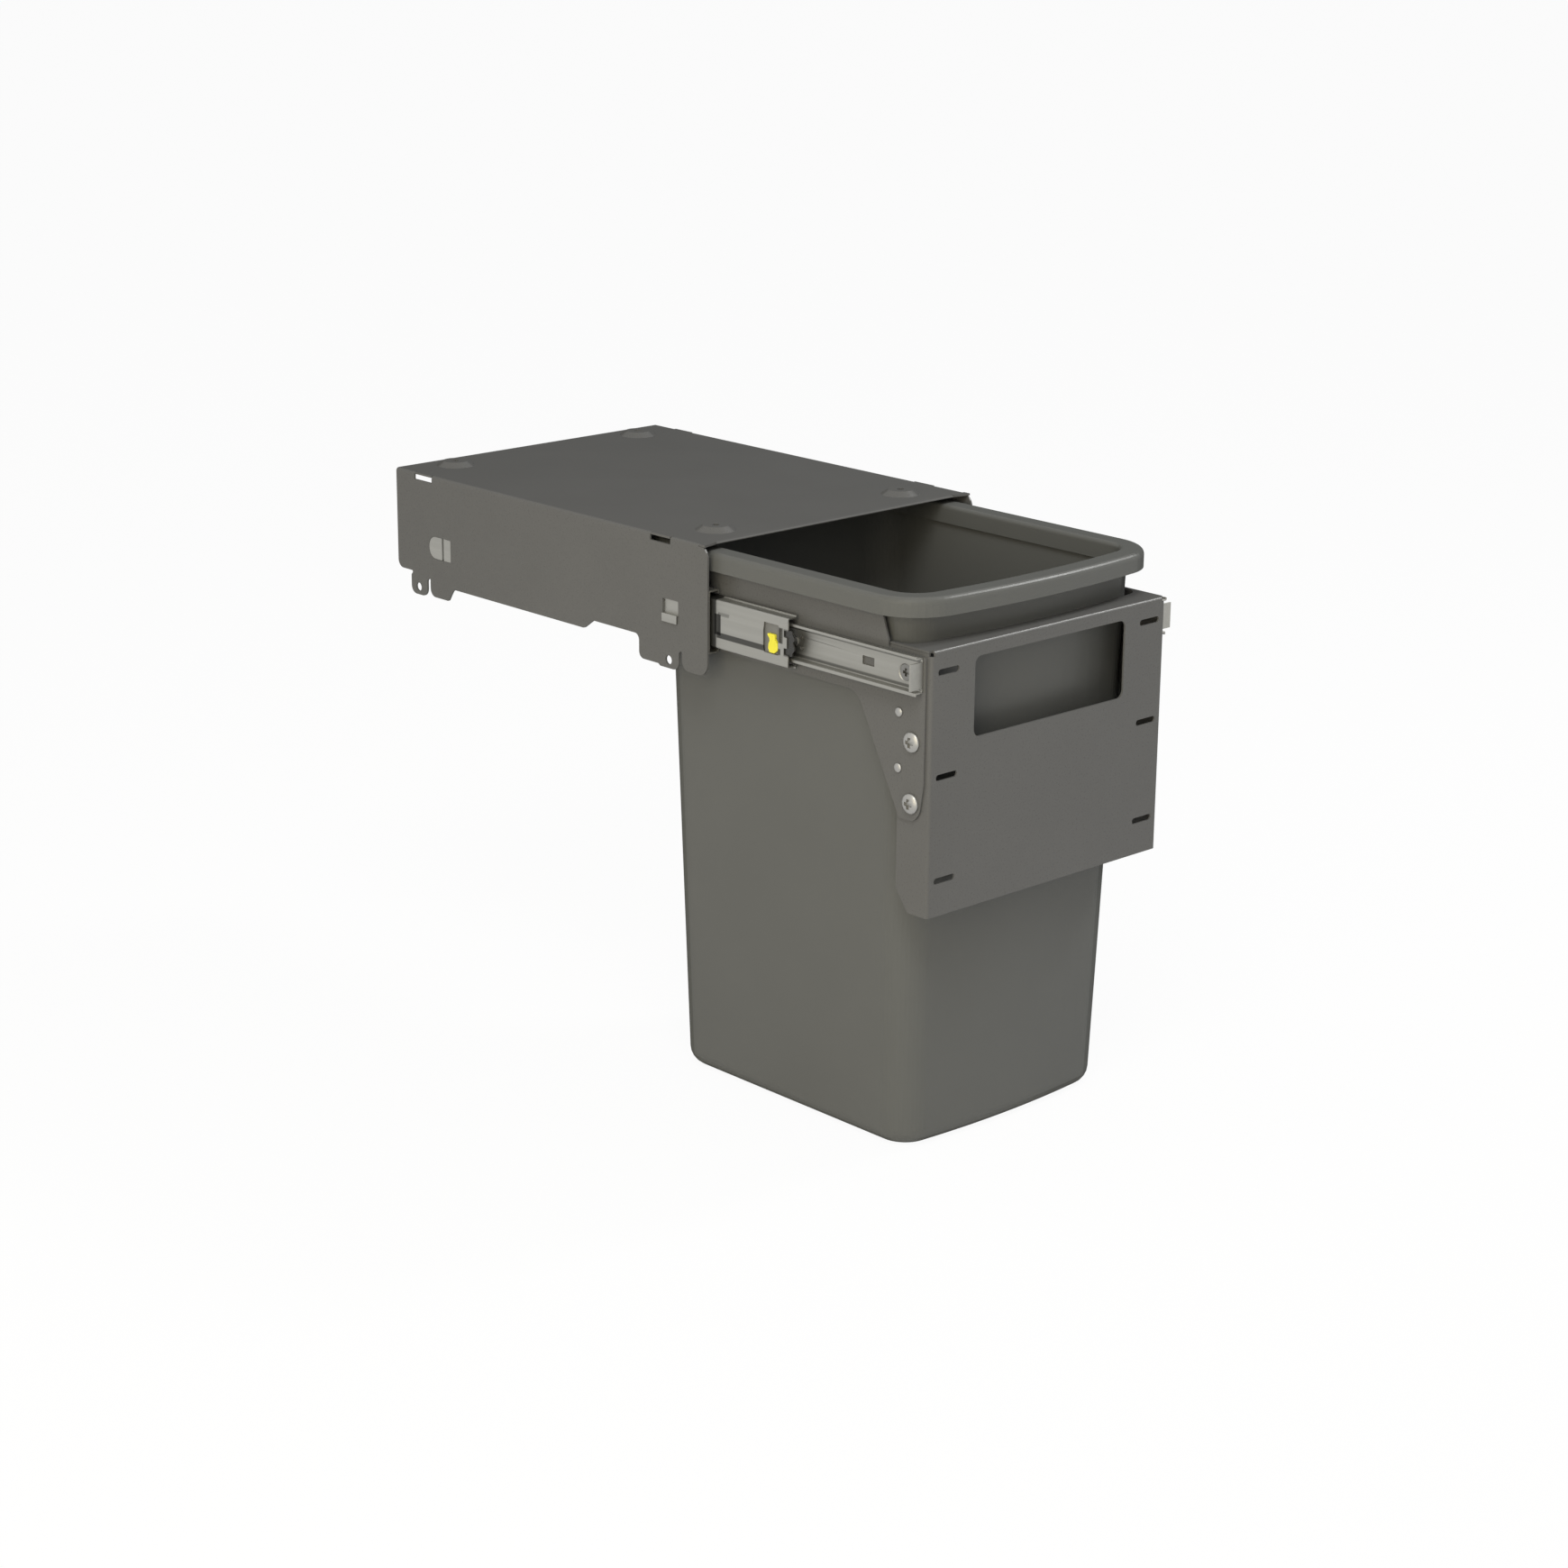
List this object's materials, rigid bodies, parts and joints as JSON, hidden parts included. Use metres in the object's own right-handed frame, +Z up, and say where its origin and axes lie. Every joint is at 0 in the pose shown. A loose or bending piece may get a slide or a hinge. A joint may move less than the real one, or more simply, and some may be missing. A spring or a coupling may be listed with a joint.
{
  "type": "pull out trash cabinet",
  "caption": "Bucket on a ball bearing carriage that slides out of a folded steel housing hung under a cabinet top, with a bracket for the door.",
  "frame": {"origin": "centre of the four screw holes in the top, on the plane where their bosses meet the board above", "axes": "+X right as seen from the front, +Y back into the cabinet, +Z up"},
  "size_m": [0.2668, 0.5586, 0.4099],
  "materials": {
    "painted_steel": "powder coated dark warm grey, fine satin texture",
    "bucket_plastic": "moulded dark warm grey, matt",
    "zinc_steel": "bright zinc plated rolled steel",
    "cage_steel": "plain pressed steel strip",
    "ball_steel": "polished bearing steel",
    "screw_steel": "zinc plated",
    "guide_plastic": "moulded mid grey",
    "lever_plastic": "moulded bright yellow",
    "bumper_rubber": "moulded black"
  },
  "bodies": {
    "housing": {"housing_cover": "painted_steel", "outer_member_left": "zinc_steel", "outer_member_right": "zinc_steel", "rear_bumper_left": "bumper_rubber", "rear_bumper_right": "bumper_rubber"},
    "carriage": {"inner_member_left": "zinc_steel", "inner_member_right": "zinc_steel", "side_plate_left": "painted_steel", "side_plate_right": "painted_steel", "rear_crossbar": "painted_steel", "crossbar_rivets": "screw_steel", "member_rivets": "screw_steel", "member_screws": "screw_steel", "member_nuts": "screw_steel", "door_bracket": "painted_steel", "bracket_screws": "screw_steel", "bracket_nuts": "screw_steel", "locating_pins": "screw_steel"},
    "bucket": {"bucket": "bucket_plastic"},
    "middle_left": {"middle_member_left": "zinc_steel", "latch_block_left": "guide_plastic", "front_guide_left": "guide_plastic", "lever_pin_left": "screw_steel"},
    "lever_left": {"release_lever_left": "lever_plastic"},
    "outer_cage_left": {"outer_cage_left": "cage_steel", "outer_balls_left": "ball_steel"},
    "inner_cage_left": {"inner_cage_left": "cage_steel", "inner_balls_left": "ball_steel"},
    "middle_right": {"middle_member_right": "zinc_steel", "latch_block_right": "guide_plastic", "front_guide_right": "guide_plastic", "lever_pin_right": "screw_steel"},
    "lever_right": {"release_lever_right": "lever_plastic"},
    "outer_cage_right": {"outer_cage_right": "cage_steel", "outer_balls_right": "ball_steel"},
    "inner_cage_right": {"inner_cage_right": "cage_steel", "inner_balls_right": "ball_steel"}
  },
  "joints": [
    {"name": "carriage_slide", "type": "slide", "parent": "housing", "child": "carriage", "axis": [0, -1, 0], "range_m": [-0.195, 0.155]},
    {"name": "bucket_lift", "type": "slide", "parent": "carriage", "child": "bucket", "axis": [0, 0, 1], "range_m": [0, 0.003]},
    {"name": "middle_slide_left", "type": "slide", "parent": "housing", "child": "middle_left", "axis": [0, -1, 0], "range_m": [-0.098, 0.078]},
    {"name": "outer_cage_slide_left", "type": "slide", "parent": "housing", "child": "outer_cage_left", "axis": [0, -1, 0], "range_m": [-0.04925, 0.03925]},
    {"name": "inner_cage_slide_left", "type": "slide", "parent": "housing", "child": "inner_cage_left", "axis": [0, -1, 0], "range_m": [-0.14675, 0.11675]},
    {"name": "lever_left_pivot", "type": "hinge", "parent": "middle_left", "child": "lever_left", "pos_m": [-0.1281, -0.2475, -0.057], "axis": [1, 0, 0], "range_deg": [0, 12], "stiffness_Nm_per_rad": 0.002},
    {"name": "middle_slide_right", "type": "slide", "parent": "housing", "child": "middle_right", "axis": [0, -1, 0], "range_m": [-0.098, 0.078]},
    {"name": "outer_cage_slide_right", "type": "slide", "parent": "housing", "child": "outer_cage_right", "axis": [0, -1, 0], "range_m": [-0.04925, 0.03925]},
    {"name": "inner_cage_slide_right", "type": "slide", "parent": "housing", "child": "inner_cage_right", "axis": [0, -1, 0], "range_m": [-0.14675, 0.11675]},
    {"name": "lever_right_pivot", "type": "hinge", "parent": "middle_right", "child": "lever_right", "pos_m": [0.1281, -0.2475, -0.057], "axis": [1, 0, 0], "range_deg": [0, 12], "stiffness_Nm_per_rad": 0.002}
  ],
  "couplings": [
    {"joint": "middle_slide_left", "follows": "carriage_slide", "ratio": 0.5},
    {"joint": "outer_cage_slide_left", "follows": "carriage_slide", "ratio": 0.25},
    {"joint": "inner_cage_slide_left", "follows": "carriage_slide", "ratio": 0.75},
    {"joint": "middle_slide_right", "follows": "carriage_slide", "ratio": 0.5},
    {"joint": "outer_cage_slide_right", "follows": "carriage_slide", "ratio": 0.25},
    {"joint": "inner_cage_slide_right", "follows": "carriage_slide", "ratio": 0.75}
  ]
}
